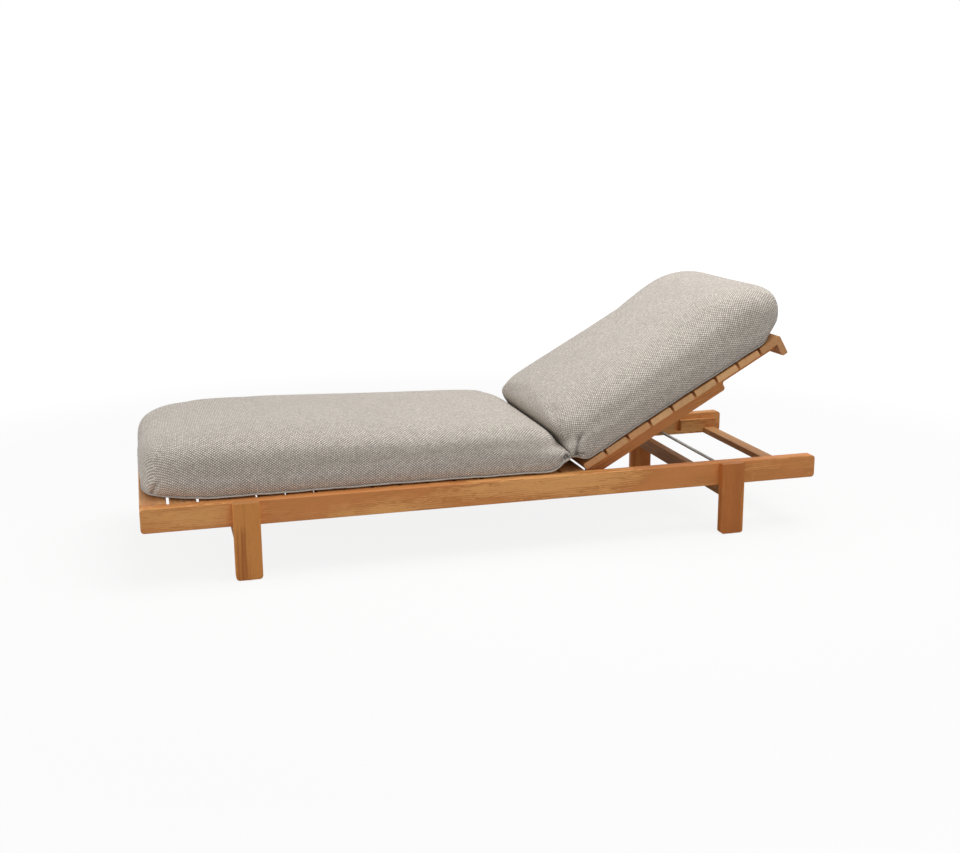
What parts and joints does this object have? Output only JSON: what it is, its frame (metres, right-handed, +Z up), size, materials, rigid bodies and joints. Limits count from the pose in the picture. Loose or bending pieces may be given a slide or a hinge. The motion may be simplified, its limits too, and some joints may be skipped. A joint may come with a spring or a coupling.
{
  "type": "sun lounger",
  "caption": "Low slatted teak sun lounger with a ratchet backrest that lifts at a hinge, lying under thick loose-filled seat and back pads.",
  "frame": {"origin": "on the floor, under the middle of the frame's length and width", "axes": "+X from the foot end to the head end, +Y to the sitter's right, +Z up"},
  "size_m": [2.05, 0.758, 0.7515],
  "materials": {
    "frame_teak": "oiled teak, satin",
    "slat_teak": "oiled teak, satin, slightly paler",
    "rod_steel": "brushed stainless steel",
    "fixing_steel": "plain stainless steel",
    "zinc_plate": "zinc-plated steel",
    "bush_bronze": "sintered bronze",
    "glide_plastic": "black moulded",
    "pad_cloth": "coarse woven outdoor cloth, beige grey fleck"
  },
  "bodies": {
    "frame": {"left_rail": "frame_teak", "right_rail": "frame_teak", "foot_leg_left": "frame_teak", "foot_leg_right": "frame_teak", "head_leg_left": "frame_teak", "head_leg_right": "frame_teak", "foot_stretcher": "frame_teak", "head_stretcher": "frame_teak", "foot_batten": "frame_teak", "head_batten": "frame_teak", "left_cleat": "frame_teak", "right_cleat": "frame_teak", "seat_slat_1": "slat_teak", "seat_slat_2": "slat_teak", "seat_slat_3": "slat_teak", "seat_slat_4": "slat_teak", "seat_slat_5": "slat_teak", "seat_slat_6": "slat_teak", "seat_slat_7": "slat_teak", "seat_slat_8": "slat_teak", "seat_slat_9": "slat_teak", "seat_slat_10": "slat_teak", "seat_slat_11": "slat_teak", "seat_slat_12": "slat_teak", "seat_slat_13": "slat_teak", "seat_slat_14": "slat_teak", "seat_slat_15": "slat_teak", "seat_slat_16": "slat_teak", "stay_rod": "rod_steel", "left_ratchet_plate": "zinc_plate", "right_ratchet_plate": "zinc_plate", "left_hinge_bolt": "fixing_steel", "right_hinge_bolt": "fixing_steel", "hinge_washers": "fixing_steel", "leg_bolts": "fixing_steel", "leg_glides": "glide_plastic", "seat_slat_screws": "fixing_steel", "ratchet_screws": "fixing_steel", "seat_pad": "pad_cloth"},
    "backrest": {"left_back_bar": "frame_teak", "right_back_bar": "frame_teak", "back_slat_1": "slat_teak", "back_slat_2": "slat_teak", "back_slat_3": "slat_teak", "back_slat_4": "slat_teak", "back_slat_5": "slat_teak", "back_slat_6": "slat_teak", "back_slat_7": "slat_teak", "back_slat_8": "slat_teak", "head_board": "slat_teak", "lip_board": "slat_teak", "hinge_bushes": "bush_bronze", "back_slat_screws": "fixing_steel", "pawl_pins": "fixing_steel", "back_pad": "pad_cloth"},
    "pawl_left": {"left_pawl": "zinc_plate"},
    "pawl_right": {"right_pawl": "zinc_plate"}
  },
  "joints": [
    {"name": "back_hinge", "type": "hinge", "parent": "frame", "child": "backrest", "pos_m": [0.24791, 0, 0.184], "axis": [0, -1, 0], "range_deg": [-28.2, 14.75]},
    {"name": "pawl_left_pivot", "type": "hinge", "parent": "backrest", "child": "pawl_left", "pos_m": [0.29, -0.2942, 0.19287], "axis": [0, -1, 0], "range_deg": [0, 10]},
    {"name": "pawl_right_pivot", "type": "hinge", "parent": "backrest", "child": "pawl_right", "pos_m": [0.29, 0.2942, 0.19287], "axis": [0, -1, 0], "range_deg": [0, 10]}
  ]
}
